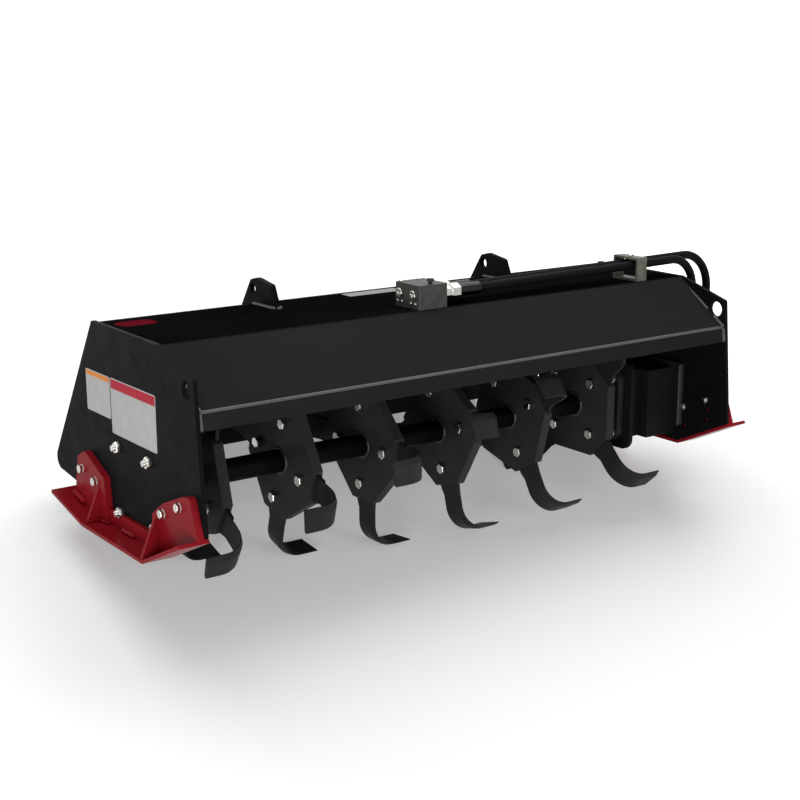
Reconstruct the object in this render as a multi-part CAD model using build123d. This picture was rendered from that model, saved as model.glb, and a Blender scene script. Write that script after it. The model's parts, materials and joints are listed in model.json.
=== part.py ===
"""Hydraulic rotary tiller for a skid-steer loader.

A bent sheet hood between two thick side plates covers a rotor with six
slotted flanges.  Each flange clamps four bent tines, and the tines step
round the rotor from flange to flange.  A hydraulic motor outside the right
plate turns the rotor through a drive box and a flanged bearing.  Bolt-on
skid shoes run along the foot of each side plate, and a quick-attach plate
closes the back.

Everything is drawn level, as the machine works: X along the rotor, +Y to the
loader, +Z up, with the zero on the rotor's axis in mid-width.  At the end the
whole machine is laid on the floor as it comes to rest when it is parked, on two
tines and a corner of the attach plate's ledge, and that pose is what is written.
"""
from build123d import *
from itertools import combinations
import json
import math
import os

os.makedirs("parts", exist_ok=True)

# ---------------------------------------------------------------- housing
CUT_W = 1524.0            # tilling width between the side plates (60 in)
SIDE_T = 9.5              # side plate
SHEET_T = 6.4             # hood and rear panel
X_IN = CUT_W / 2          # inner face of a side plate
X_OUT = X_IN + SIDE_T     # outer face

# side plate outline (y, z): rear top, deck end, front top, front foot,
# lowest corner, rear foot
SIDE_OUTLINE = [(192, 339), (-124, 336), (-279, 290), (-306, -32),
                (-137, -112), (453, -49)]
SIDE_ROUNDS = [6, 10, 8, 10, 10, 26]
LIFT_HOLE = (-250, 265, 19.5)            # y, z, radius
SKID_BOLTS = [(248, -12), (176, -25), (-158, -13), (-233, 20)]      # y, z
ADJUST_HOLE_R = 6.5       # spare holes for lower settings, under each skid bolt
ADJUST_STEP = 27.5
ADJUST_ROWS = 2
FLATS_COUNT = 14          # of hoses and small round things, to keep the facets few
HOLE_FLATS_COUNT = 12     # of the spare holes and of holes that don't show

DECK_Z = 334.0            # top of the deck
BEYOND = 2 * CUT_W        # reach of a cutter that must pass everything
DECK_FRONT_Y = -124.0
SLOPE_FOOT = (-280.0, 223.0)
LIP_FOOT = (-284.0, 184.0)

# rear plane, from the rear top corner down to the rear foot
REAR_TOP = (192.0, 339.0)
REAR_FOOT = (453.0, -49.0)
_len = math.dist(REAR_TOP, REAR_FOOT)
DOWN = ((REAR_FOOT[0] - REAR_TOP[0]) / _len, (REAR_FOOT[1] - REAR_TOP[1]) / _len)
OUT = (-DOWN[1], DOWN[0])

# ---------------------------------------------------------------- attach plate
ATTACH_W = 1130.0
ATTACH_T = 9.5
ATTACH_TOP = 59.0         # down the rear plane from its top corner
ATTACH_H = 457.0
PANEL_SHORT = 12.0        # of the rear panel, above the side plates' rear foot
HOOK_REACH = 32.0         # of the hook lip, out and down at 45 degrees
HOOK_T = 10.0
LEDGE_REACH = 52.0
LEDGE_T = 10.0
LEDGE_DROP = 22.0         # the ledge's outer edge below its root
PIN_SLOT = (40.0, 18.0)   # length along x, width
PIN_X = 425.0

# ---------------------------------------------------------------- lugs
LUG_X = 0.231 * CUT_W
LUG_T = 12.7
LUG_HOLE = (193.0, 369.0, 12.7)          # y, z, radius
LUG_FRONT_Y = 86.0        # of its foot
LUG_CROWN = [(110.0, 388.0), (175.0, 398.0)]
LUG_TOP_Z = 391.0         # of its rear corner
LUG_BACK = 38.0           # of its rear edge behind the rear plane

# ---------------------------------------------------------------- rotor
DRIVE_L = 155.0           # of the drive box, in from the right side plate
TUBE_R = 27.0
TUBE_SHORT = (72.0, 78.0)         # of the left side plate, of the drive box
TUBE_ENDS = (-X_IN + TUBE_SHORT[0], X_IN - DRIVE_L - TUBE_SHORT[1])
STUB_R = 22.5
STUB_GAP, STUB_IN = 7.0, 33.0     # to the left side plate, into the drive box
STUB_ENDS = (-X_IN + STUB_GAP, X_IN - DRIVE_L + STUB_IN)
FLANGE_T = 25.0
FLANGE_COUNT = 6
FIRST_GAP = 123.5         # left side plate to the first flange
LAST_GAP = 257.5          # last flange's -x face to the right side plate
FLANGE_FIRST_X = -X_IN + FIRST_GAP
FLANGE_PITCH = (CUT_W - FIRST_GAP - LAST_GAP) / (FLANGE_COUNT - 1)
FLANGE_SIDE = 127.0       # axis to a long side, between the tines
FLANGE_CORNER = 138.0     # axis to a cut corner, facing a tine
PHASE_FIRST = 30.0        # tine direction of the first flange, degrees from +y
PHASE_STEP = -15.0
SLOT_DEPTH = 8.5          # face of the tine's pocket below the flange's -x face
TINE_T = 8.0
POCKET_FIT = 0.4          # play of a tine in its pocket, which is off the back face
TINE_ROOT = 64.0
SHANK_HALF = 34.0
TINE_REACH = 108.0        # from mid-flange along the rotor
TINE_END_SLANT = 10.0
TINE_FACE_R = 262.0       # axis to the outer face of the cutting leg
TINE_BEND_R = 65.0
LEAD, TRAIL = 32.0, -26.0
BEVEL_START_R = 165.0
SHOULDER_L = 20.0         # over which the shank narrows to the blade
BEVEL_W, BEVEL_DEPTH = 14.0, 5.5

# ---------------------------------------------------------------- bearings, drive
BEARING_HALF = 93.0
BEARING_T = 18.0
BEARING_CUT = 16.0        # of its corners
BEARING_BOSS_R = 62.0
BEARING_BOSS_L = 38.0
BEARING_BORE_R = STUB_R + 0.05
BEARING_SEAT_R = 40.0     # hole behind a bearing
DRIVE_WALL = 8.0
DRIVE_DEEP_L = 107.0      # of the wide part
DRIVE_NECK = 91.0
DRIVE_DEEP = 123.0        # half depth of the wide part, along y
END_PLATE = (121.0, 118.0, 12.0, 30.0)   # half y, half z, thickness, corner radius
FLANGE_PLATE = (148.0, -71.0, 107.0, 18.0, 6.0)   # half y, z from, z to, thickness, corner cut
MOTOR_FLANGE = (70.0, 18.0, 14.0)        # half side, thickness, corner cut
MOTOR_R, MOTOR_L = 60.0, 168.0

# ---------------------------------------------------------------- skid shoes
SKID_W = 69.5             # from the inner face of the side plate outwards
SKID_T = 8.0
EAR_T = 16.0
SKID_REAR = (332.0, -76.0)
SKID_FLAT_END_Y = 165.0
REAR_EAR_FOOT = (296.0, 123.0)           # y of its rear and its front edge on the sole
REAR_EAR = [(271, 13), (239, 31), (225, 31), (133, -9)]
REAR_EAR_ROUNDS = {1: 6, 2: 6, 3: 8}
FRONT_EAR = [(-104, -29), (-116, -19), (-159, 10), (-245, 45), (-275, 51)]
FRONT_EAR_ROUNDS = {2: 10, 3: 8, 4: 10}
GUSSET_T = 9.0
GUSSET_TOE = 6.0          # height of a gusset's outer end
REAR_GUSSET = (-29.0, 12.0)              # z of its top, its toe in from the sole's edge
FRONT_GUSSET = (-8.0, 2.0)
RIB_TOP = -78.0
RIB_T = 10.0

# ---------------------------------------------------------------- hydraulics
BLOCK_X = (-100.0, -18.0)
BLOCK_Y = (-121.0, -27.0)
BLOCK_H = 57.0
KNOB = (-56.0, -105.0, 8.5, 12.0)        # x, y, radius, height
HOSE_R = 11.5
HOSE_Z = 366.0            # at the block
HOSE_TOP_Z = 374.0        # over the clamp
FITTING_FLATS = ((27.0, 26.0), (32.0, 24.0))     # across flats, length
FERRULE = (15.0, 62.0)    # radius, length
FERRULE_PLAY = 0.3        # to the hose, which leaves it at a slight rise
CLAMP_X = (X_IN - 158.0, X_IN - 124.0)
CLAMP_Y = (-118.0, -30.0)
CLAMP_T = 6.0
CLAMP_PLAY = 3.8          # over the hoses, which rise through it
PORT_OUT = (66.0, 164.0)  # of the motor's ports, out from the right side plate
# hose: name, y, x of its drop to the motor's port, bend radius
HOSES = [("pressure", -94.0, X_OUT + PORT_OUT[0], 80.0),
         ("return", -57.0, X_OUT + PORT_OUT[1], 96.0)]
PORT_Z = 96.0             # top of the motor's port block
PORT_LAND = 19.0          # of the port block round a port
PORT_NUT = (17.0, 16.0)   # radius, length
PORT_FERRULE = (14.5, 26.0)
NEAR = 60.0               # of the floor: corners that could come to carry the machine


# ================================================================ helpers
def rear(s, n):
    """(y, z) of a point s down the rear plane and n out of it."""
    return (REAR_TOP[0] + s * DOWN[0] + n * OUT[0],
            REAR_TOP[1] + s * DOWN[1] + n * OUT[1])


def face_of(points, rounds=None):
    """Closed outline, with the corners in rounds {index: radius} rounded."""
    sk = make_face(Polyline(*points, close=True))
    for index, r in (rounds or {}).items():
        if r:
            at = points[index]
            corner = min(sk.vertices(), key=lambda v: math.dist((v.X, v.Y), at))
            sk = fillet(corner, r)
    return sk


def slab(points, x0, x1, rounds=None):
    """Outline in (y, z), as thick as from x0 to x1."""
    x0, x1 = min(x0, x1), max(x0, x1)
    return extrude(Plane.YZ.offset(x0) * face_of(points, rounds), amount=x1 - x0)


def plate(half_y, z0, z1, x0, x1, cut):
    """Rectangle across the rotor's axis with its corners cut off."""
    corners = []
    for y, z, along_y in ((-half_y, z0, 1), (half_y, z0, 0), (half_y, z1, 1), (-half_y, z1, 0)):
        in_y, in_z = math.copysign(cut, -y), math.copysign(cut, (z0 + z1) / 2 - z)
        pair = [(y, z + in_z), (y + in_y, z)]
        corners += pair if along_y else pair[::-1]
    return slab(corners, x0, x1)


def rod_x(r, x0, x1, y=0.0, z=0.0):
    """Round bar along x."""
    return extrude(Plane.YZ.offset(x0) * Pos(y, z) * Circle(r), amount=x1 - x0)


def block(x0, x1, y0, y1, z0, z1):
    return Pos((x0 + x1) / 2, (y0 + y1) / 2, (z0 + z1) / 2) * \
        Box(x1 - x0, y1 - y0, z1 - z0)


def flats_x(across, sides, x0, x1, y, z):
    """Bar along x with sides flats, one of them facing +y."""
    return extrude(Plane.YZ.offset(x0) * Pos(y, z) *
                   RegularPolygon(across / 2, sides, major_radius=False, rotation=180 / sides),
                   amount=x1 - x0)


def flats_z(across, sides, z0, z1, x, y):
    """Bar along z with sides flats."""
    return extrude(Plane.XY.offset(z0) * Pos(x, y) *
                   RegularPolygon(across / 2, sides, major_radius=False), amount=z1 - z0)


def pipe(points, r, bend):
    """Hose through points, its corners bent to one radius."""
    pts = [Vector(*p) for p in points]
    edges, at = [], pts[0]
    for a, b, c in zip(pts, pts[1:], pts[2:]):
        u, v = (a - b).normalized(), (c - b).normalized()
        half = math.acos(max(-1, min(1, u.dot(v)))) / 2
        cut = bend / math.tan(half)
        p, q = b + u * cut, b + v * cut
        mid = (u + v).normalized()
        centre = b + mid * (bend / math.sin(half))
        edges.append(Line(at, p))
        edges.append(ThreePointArc(p, centre - mid * bend, q))
        at = q
    edges.append(Line(at, pts[-1]))
    start = Plane(origin=pts[0], z_dir=(pts[1] - pts[0]).normalized())
    return sweep(start * RegularPolygon(r, FLATS_COUNT), path=Wire(edges))


def mirror_x(shape):
    return mirror(shape, Plane.YZ)


parts = {}          # node name -> solid or group of solids, level


def keep(name, shape):
    parts[name] = shape


# ================================================================ side plates
side = slab(SIDE_OUTLINE, X_IN, X_OUT, dict(enumerate(SIDE_ROUNDS)))
side -= rod_x(LIFT_HOLE[2], X_IN - SIDE_T, X_OUT + SIDE_T, *LIFT_HOLE[:2])
for y, z in SKID_BOLTS:
    for row in range(1, ADJUST_ROWS + 1):
        side -= flats_x(2 * ADJUST_HOLE_R, HOLE_FLATS_COUNT, X_IN - SIDE_T, X_OUT + SIDE_T,
                        y, z - row * ADJUST_STEP)
keep("right_side_plate", side)
keep("left_side_plate", mirror_x(side))

# ================================================================ hood
# outer line of the bent sheet, from the rear of the deck to the lip's foot
hood_line = [(REAR_TOP[0] + LUG_BACK, DECK_Z), (DECK_FRONT_Y, DECK_Z), SLOPE_FOOT, LIP_FOOT]


def offset_line(points, t):
    """The same open line t further in, to the left of its run."""
    out = []
    for i, p in enumerate(points):
        dirs = []
        if i:
            dirs.append(Vector(p[0] - points[i - 1][0], p[1] - points[i - 1][1], 0).normalized())
        if i < len(points) - 1:
            dirs.append(Vector(points[i + 1][0] - p[0], points[i + 1][1] - p[1], 0).normalized())
        normals = [Vector(-d.Y, d.X, 0) for d in dirs]
        if len(normals) == 1:
            n, k = normals[0], t
        else:
            n = (normals[0] + normals[1]).normalized()
            k = t / n.dot(normals[0])
        out.append((p[0] + n.X * k, p[1] + n.Y * k))
    return out


hood = slab(hood_line + offset_line(hood_line, SHEET_T)[::-1], -X_IN, X_IN,
            {1: 12, 2: 12, 5: 6, 6: 6})
behind = slab([rear(-BEYOND, -SHEET_T), rear(BEYOND, -SHEET_T), rear(BEYOND, BEYOND),
               rear(-BEYOND, BEYOND)], -CUT_W, CUT_W)
keep("hood", hood - behind)

# ================================================================ rear panel
above_deck = slab([(-BEYOND, DECK_Z), (BEYOND, DECK_Z), (BEYOND, BEYOND), (-BEYOND, BEYOND)],
                  -CUT_W, CUT_W)
panel_foot = math.dist(REAR_TOP, REAR_FOOT) - PANEL_SHORT
panel = slab([rear(-SHEET_T, -SHEET_T), rear(panel_foot, -SHEET_T), rear(panel_foot, 0),
              rear(-SHEET_T, 0)], -X_IN, X_IN)
keep("rear_panel", panel - above_deck)

# ================================================================ attach plate
s0, s1 = ATTACH_TOP, ATTACH_TOP + ATTACH_H
half_w = ATTACH_W / 2
attach = slab([rear(s0, 0), rear(s1, 0), rear(s1, ATTACH_T), rear(s0, ATTACH_T)],
              -half_w, half_w)
keep("attach_plate", attach)
d = HOOK_T / math.sqrt(2)
hook = slab([rear(s0, ATTACH_T), rear(s0 + HOOK_REACH, ATTACH_T + HOOK_REACH),
             rear(s0 + HOOK_REACH + d, ATTACH_T + HOOK_REACH - d),
             rear(s0 + 2 * d, ATTACH_T)], -half_w, half_w)
keep("attach_hook_lip", hook)
drop = LEDGE_DROP
ledge_pts = [rear(s1 - LEDGE_T, ATTACH_T), rear(s1 - LEDGE_T + drop, ATTACH_T + LEDGE_REACH),
             rear(s1 + drop, ATTACH_T + LEDGE_REACH), rear(s1, ATTACH_T)]
ledge = slab(ledge_pts, -half_w, half_w)
ledge_dir = Vector(0, ledge_pts[1][0] - ledge_pts[0][0], ledge_pts[1][1] - ledge_pts[0][1])
ledge_mid = Vector(0, *ledge_pts[0]) + ledge_dir * 0.55
ledge_plane = Plane(origin=ledge_mid, x_dir=(1, 0, 0), z_dir=ledge_dir.cross(Vector(1, 0, 0)))
for sx in (-1, 1):
    cutter = ledge_plane * Pos(sx * PIN_X, 0) * SlotOverall(PIN_SLOT[0], PIN_SLOT[1])
    ledge -= extrude(cutter, amount=4 * LEDGE_T, both=True)
keep("attach_pin_ledge", ledge)

# ================================================================ lugs
s_cut = (REAR_TOP[1] + LUG_BACK * OUT[1] - LUG_TOP_Z) / -DOWN[1]
lug_pts = [(LUG_FRONT_Y, DECK_Z)] + LUG_CROWN + [
    rear(s_cut, LUG_BACK), rear(s0 + LUG_BACK - ATTACH_T, LUG_BACK), rear(s0, ATTACH_T),
    rear(s0, 0), (REAR_TOP[0] + (REAR_TOP[1] - DECK_Z) / -DOWN[1] * DOWN[0], DECK_Z)]
lug = slab(lug_pts, LUG_X - LUG_T / 2, LUG_X + LUG_T / 2, {1: 10, 2: 8, 3: 12})
lug -= rod_x(LUG_HOLE[2], LUG_X - LUG_T, LUG_X + LUG_T, LUG_HOLE[0], LUG_HOLE[1])
keep("right_lug", lug)
keep("left_lug", mirror_x(lug))

# ================================================================ skid shoes
front, low = SIDE_OUTLINE[3], SIDE_OUTLINE[4]
floor_z = low[1]                         # top of the sole where it runs flat
top_line = [front, low, (SKID_FLAT_END_Y, floor_z), SKID_REAR]
bottom_line = offset_line(top_line, -SKID_T)
sole = slab(top_line + bottom_line[::-1], X_IN, X_IN + SKID_W, {5: 14, 6: 14})


def sole_top(y):
    for (ya, za), (yb, zb) in zip(top_line, top_line[1:]):
        if ya <= y <= yb:
            return za + (zb - za) * (y - ya) / (yb - ya)
    return floor_z


def gusset(y, z_top, toe_in):
    """Triangle across the sole from an ear's outer face, its front face at y."""
    toe_x = X_IN + SKID_W - toe_in
    triangle = make_face(Polyline((X_OUT + EAR_T, floor_z), (toe_x, floor_z),
                                  (toe_x, floor_z + GUSSET_TOE), (X_OUT + EAR_T, z_top),
                                  close=True))
    return extrude(Plane.XZ.offset(-y) * triangle, amount=-GUSSET_T)


ear_x = (X_OUT, X_OUT + EAR_T)
rear_foot_y, rear_front_y = REAR_EAR_FOOT
rear_ear = slab(REAR_EAR + [(rear_front_y, floor_z), (SKID_FLAT_END_Y, floor_z),
                            (rear_foot_y, sole_top(rear_foot_y))], *ear_x, REAR_EAR_ROUNDS)
front_foot_y = FRONT_EAR[0][0]
front_ear = slab(FRONT_EAR + [front, low, (front_foot_y, floor_z)], *ear_x, FRONT_EAR_ROUNDS)
rib = slab([(rear_front_y, floor_z), (rear_front_y, RIB_TOP), (front_foot_y, RIB_TOP),
            (front_foot_y, floor_z)], X_OUT, X_OUT + RIB_T)
rear_ear += gusset(SKID_FLAT_END_Y - GUSSET_T, *REAR_GUSSET)
front_ear += gusset(low[0], *FRONT_GUSSET)
for name, shape in (("skid_sole", sole), ("skid_rear_ear", rear_ear),
                    ("skid_front_ear", front_ear), ("skid_rib", rib)):
    keep("right_" + name, shape)
    keep("left_" + name, mirror_x(shape))


# ================================================================ bearings
def bearing(face_x, way):
    """Flanged bearing with its back on face_x and its boss pointing way."""
    t = face_x + way * BEARING_T
    tip = t + way * BEARING_BOSS_L
    whole = plate(BEARING_HALF, -BEARING_HALF, BEARING_HALF, face_x, t, BEARING_CUT)
    whole += rod_x(BEARING_BOSS_R, min(t, tip), max(t, tip))
    return whole - rod_x(BEARING_BORE_R, -CUT_W, CUT_W)


drive_x = X_IN - DRIVE_L                 # outer face of the box's inner wall
keep("left_bearing", bearing(-X_IN, 1))
keep("drive_bearing", bearing(drive_x - END_PLATE[2], -1))

# ================================================================ drive box
w, neck, deep = DRIVE_WALL, DRIVE_NECK, DRIVE_DEEP
deep_x = X_IN - DRIVE_DEEP_L
box = block(drive_x, X_IN, -neck, neck, -neck, neck) + \
    block(deep_x, X_IN, -deep, deep, -neck, neck)
half_y, half_z, t, r = END_PLATE
box += slab([(-half_y, -half_z), (half_y, -half_z), (half_y, half_z), (-half_y, half_z)],
            drive_x - t, drive_x, dict.fromkeys(range(4), r))
half_y, z0, z1, t, cut = FLANGE_PLATE
box += plate(half_y, z0, z1, X_IN - t, X_IN, cut)
hollow = block(drive_x + w, X_IN + w, -neck + w, neck - w, -neck + w, neck - w) + \
    block(deep_x + w, X_IN + w, -deep + w, deep - w, -neck + w, neck - w)
box -= hollow
box -= flats_x(2 * BEARING_SEAT_R, HOLE_FLATS_COUNT, drive_x - 2 * END_PLATE[2],
               drive_x + 2 * w, 0, 0)
keep("drive_box", box)

# ================================================================ hydraulic motor
m, flange_t, cut = MOTOR_FLANGE
motor_x = X_OUT + flange_t
motor = plate(m, -m, m, X_OUT, motor_x, cut)
motor += flats_x(2 * MOTOR_R, FLATS_COUNT, motor_x, motor_x + MOTOR_L, 0, 0)
keep("hydraulic_motor", motor)
(_, y0, xa, _), (_, y1, xb, _) = HOSES
ports = block(xa - PORT_LAND, xb + PORT_LAND, y0 - PORT_LAND, y1 + PORT_LAND, 0, PORT_Z)
keep("motor_port_block", ports - motor)

# ================================================================ rotor
shaft = rod_x(TUBE_R, *TUBE_ENDS) + rod_x(STUB_R, STUB_ENDS[0], TUBE_ENDS[0]) + \
    rod_x(STUB_R, TUBE_ENDS[1], STUB_ENDS[1])
keep("rotor_shaft", shaft)


def tine_local():
    """Tine with +x along the rotor (its bend), +y out from the axis, +z leading."""
    half = TINE_T / 2
    bend_y = TINE_FACE_R - TINE_BEND_R
    bend_x = TINE_BEND_R - half
    shoulder = BEVEL_START_R - SHOULDER_L
    shank = extrude(Plane.YZ.offset(-half) * make_face(Polyline(
        (TINE_ROOT, -SHANK_HALF), (shoulder, -SHANK_HALF), (BEVEL_START_R, TRAIL),
        (BEVEL_START_R, LEAD), (shoulder, SHANK_HALF), (TINE_ROOT, SHANK_HALF),
        close=True)), amount=TINE_T)
    # bevelled section: across from the outer face, and trailing to leading
    outline = [(0, TRAIL), (0, LEAD - BEVEL_W), (BEVEL_DEPTH, LEAD), (TINE_T, LEAD),
               (TINE_T, TRAIL)]
    section = make_face(Polyline(*[(a, -b) for a, b in outline], close=True))
    blade = extrude(Plane(origin=(-half, BEVEL_START_R, 0), x_dir=(1, 0, 0), z_dir=(0, 1, 0)) *
                    section, amount=bend_y - BEVEL_START_R)
    curve = revolve(Plane(origin=(-half, bend_y, 0), x_dir=(1, 0, 0), z_dir=(0, 1, 0)) * section,
                    axis=Axis((bend_x, bend_y, 0), (0, 0, -1)), revolution_arc=90)
    leg = extrude(Plane(origin=(bend_x, TINE_FACE_R, 0), x_dir=(0, -1, 0), z_dir=(1, 0, 0)) *
                  section, amount=TINE_REACH - bend_x)
    # the end of the leg is cut off at a slant, its leading corner the furthest
    width = LEAD - TRAIL
    end_cut = extrude(Plane.XZ.offset(-TINE_FACE_R - TINE_T) * make_face(Polyline(
        (TINE_REACH, LEAD), (TINE_REACH + width, LEAD), (TINE_REACH + width, TRAIL),
        (TINE_REACH - TINE_END_SLANT, TRAIL), close=True)), amount=4 * TINE_T)
    return shank + blade + curve + leg - end_cut


def stand(x, phi):
    """Plane at x on the rotor: local +x to -x, +y out at phi, +z leading."""
    a = math.radians(phi)
    return Plane(origin=(x, 0, 0), x_dir=(-1, 0, 0), z_dir=(0, math.sin(a), -math.cos(a)))


def flange_outline(phase):
    """Square flange with its corners cut, a cut facing each tine."""
    cut = FLANGE_SIDE * math.sqrt(2) - FLANGE_CORNER
    outline = []
    for j in range(4):
        a = math.radians(phase + 90 * j)
        for sgn in (-1, 1):
            outline.append((FLANGE_CORNER * math.cos(a) - sgn * cut * math.sin(a),
                            FLANGE_CORNER * math.sin(a) + sgn * cut * math.cos(a)))
    return outline


tine_a = tine_local()                       # bends to -x
tine_b = mirror(tine_a, Plane.YZ)           # bends to +x
# pocket of a tine: from just short of its root to past the flange's edge
pocket = Pos(-POCKET_FIT / 2, (TINE_ROOT - POCKET_FIT + 2 * FLANGE_CORNER) / 2, 0) * \
    Box(TINE_T + POCKET_FIT, 2 * FLANGE_CORNER - TINE_ROOT + POCKET_FIT,
        2 * (SHANK_HALF + POCKET_FIT))
for k in range(FLANGE_COUNT):
    x0 = FLANGE_FIRST_X + FLANGE_PITCH * k
    phase = PHASE_FIRST + PHASE_STEP * k
    flange = slab(flange_outline(phase), x0, x0 + FLANGE_T)
    mid = x0 + SLOT_DEPTH + TINE_T / 2
    tines = []
    for j in range(4):
        at = stand(mid, phase + 90 * j).location
        flange -= at * pocket
        tines.append(at * (tine_b if j % 2 else tine_a))
    flange -= rod_x(TUBE_R, x0 - FLANGE_T, x0 + 2 * FLANGE_T)
    keep("tine_flange_%d" % (k + 1), flange)
    keep("tines_%d" % (k + 1), tines[0] + tines[1] + tines[2] + tines[3])

# ================================================================ hydraulics on the deck
block_top = DECK_Z + BLOCK_H
valve = block(*BLOCK_X, *BLOCK_Y, DECK_Z, block_top)
keep("valve_block", chamfer(valve.edges().filter_by(Axis.Z), 1.5))
kx, ky, kr, kh = KNOB
keep("valve_knob", flats_z(1.2 * kr, FLATS_COUNT, block_top, block_top + kh / 2, kx, ky) +
     flats_z(2 * kr, FLATS_COUNT, block_top + kh / 2, block_top + kh, kx, ky))

for name, y, x_drop, bend in HOSES:
    x = BLOCK_X[1]
    end = None
    for across, length in FITTING_FLATS:
        nut = flats_x(across, 6, x, x + length, y, HOSE_Z)
        end = end + nut if end else nut
        x += length
    end += flats_x(2 * FERRULE[0], FLATS_COUNT, x, x + FERRULE[1], y, HOSE_Z)
    keep(name + "_block_fitting", end)
    x += FERRULE[1] + FERRULE_PLAY
    nut_top = PORT_Z + PORT_NUT[1]
    port_top = nut_top + PORT_FERRULE[1]
    rise = (HOSE_TOP_Z - HOSE_Z) / (CLAMP_X[0] - x)
    keep(name + "_hose", pipe([(x, y, HOSE_Z), (x_drop, y, HOSE_Z + rise * (x_drop - x)),
                               (x_drop, y, port_top)], HOSE_R, bend))
    keep(name + "_motor_fitting",
         flats_z(2 * PORT_NUT[0], 6, PORT_Z, nut_top, x_drop, y) +
         flats_z(2 * PORT_FERRULE[0], FLATS_COUNT, nut_top, port_top, x_drop, y))

# clamp: a strip on the deck, two legs and a bar over both hoses
bar_z = HOSE_TOP_Z + HOSE_R + CLAMP_PLAY
y_front, y_back = CLAMP_Y
clamp = block(*CLAMP_X, y_front, y_back, DECK_Z, DECK_Z + CLAMP_T)
clamp += block(*CLAMP_X, y_front, y_front + CLAMP_T, DECK_Z, bar_z + CLAMP_T)
clamp += block(*CLAMP_X, y_back - CLAMP_T, y_back, DECK_Z, bar_z + CLAMP_T)
clamp += block(*CLAMP_X, y_front, y_back, bar_z, bar_z + CLAMP_T)
keep("hose_clamp", clamp)


# ================================================================ parked pose
def corners_of(names):
    return [Vector(v.X, v.Y, v.Z) for name in names for v in parts[name].vertices()]


def height(p, theta):
    """Height over the rotor's axis of a level point, tipped back by theta degrees."""
    return p.Z * math.cos(math.radians(theta)) - p.Y * math.sin(math.radians(theta))


def low_end(points, theta):
    return min(height(p, theta) for p in points)


def rest_normal(points, centre):
    """Upward normal of the three points that carry the centre of mass, the rest above them."""
    for a, b, c in combinations(points, 3):
        n = (b - a).cross(c - a)
        if n.length < 1:
            continue
        n = n.normalized() * math.copysign(1, n.Z)
        if any((p - a).dot(n) < -0.01 for p in points):
            continue
        sides = [(q - p).cross(centre - p).dot(n) for p, q in ((a, b), (b, c), (c, a))]
        if min(sides) >= 0 or max(sides) <= 0:
            return n


# tip it back until the ledge and the lowest tine are at one height
tine_corners = corners_of(["tines_%d" % (k + 1) for k in range(FLANGE_COUNT)])
ledge_corners = corners_of(["attach_pin_ledge"])
lo, hi = 5.0, 40.0
while hi - lo > 1e-6:
    theta = (lo + hi) / 2
    if low_end(ledge_corners, theta) > low_end(tine_corners, theta):
        lo = theta
    else:
        hi = theta
floor_height = low_end(ledge_corners, hi)
near_floor = [p for p in tine_corners + ledge_corners if height(p, hi) < floor_height + NEAR]

# then let it settle sideways on the three corners that carry it
volume = sum(s.volume for s in parts.values())
centre = sum((s.center(CenterOf.MASS) * s.volume for s in parts.values()), Vector()) / volume
up = rest_normal(near_floor, centre)
along = (Vector(1, 0, 0) - up * up.X).normalized()
back = up.cross(along)
settle = Plane(origin=(0, 0, 0), x_dir=along, z_dir=up).location.inverse()
turned = {name: settle * shape for name, shape in parts.items()}
boxes = [s.bounding_box() for s in turned.values()]
low_corner = [min(getattr(b.min, a) for b in boxes) for a in "XYZ"]
high_corner = [max(getattr(b.max, a) for b in boxes) for a in "XYZ"]
shift = Vector(-(low_corner[0] + high_corner[0]) / 2, -(low_corner[1] + high_corner[1]) / 2,
               -low_corner[2])
for name, shape in turned.items():
    export_step(Pos(*shift) * shape, "parts/%s.step" % name)


def parked_dir(*level):
    """A level direction in the parked frame."""
    d = Vector(*level)
    return [round(d.dot(axis), 6) for axis in (along, back, up)]


def parked(*level):
    """Parked place of a level point, in metres."""
    d = Vector(*level)
    return [round((d.dot(axis) + move) / 1000, 6)
            for axis, move in zip((along, back, up), shift)]


side_x = (X_IN + X_OUT) / 2
print("PLACES " + json.dumps({
    "tip_deg": math.degrees(math.atan2(-up.Y, up.Z)),
    "lean_deg": math.degrees(math.asin(-up.X)),
    "rotor": parked(0, 0, 0),
    "x_dir": parked_dir(1, 0, 0),
    "size_mm": [h - l for l, h in zip(low_corner, high_corner)],
    "left_lug": parked(-LUG_X, *LUG_HOLE[:2]),
    "right_lug": parked(LUG_X, *LUG_HOLE[:2]),
    "left_lift": parked(-side_x, *LIFT_HOLE[:2]),
    "right_lift": parked(side_x, *LIFT_HOLE[:2]),
    "attach_face": parked(0, *rear((s0 + s1) / 2, ATTACH_T)),
    "attach_normal": parked_dir(0, *OUT),
    "left_pin": parked(-PIN_X, ledge_mid.Y, ledge_mid.Z),
    "right_pin": parked(PIN_X, ledge_mid.Y, ledge_mid.Z),
    "pin_axis": parked_dir(*ledge_plane.z_dir),
    "hook": [parked(sx * half_w, *rear(s0 + s, ATTACH_T + n))
             for sx in (-1, 1) for s, n in ((2 * d, 0), (HOOK_REACH + d, 0),
                                            (HOOK_REACH + d, HOOK_REACH - d))],
    "parts": len(parts)}))
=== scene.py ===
"""Looks of the rotary tiller: materials, bolts, welds, labels, hoses, light and camera.

Small pieces are placed in the level machine frame (mm, zero on the rotor's axis, x along
the rotor to the drive side, y to the rear, z up) and carried to the parked pose by one
matrix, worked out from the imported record.
"""

import json
import math
import random

import bmesh
import bpy
from mathutils import Matrix, Vector


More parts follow.
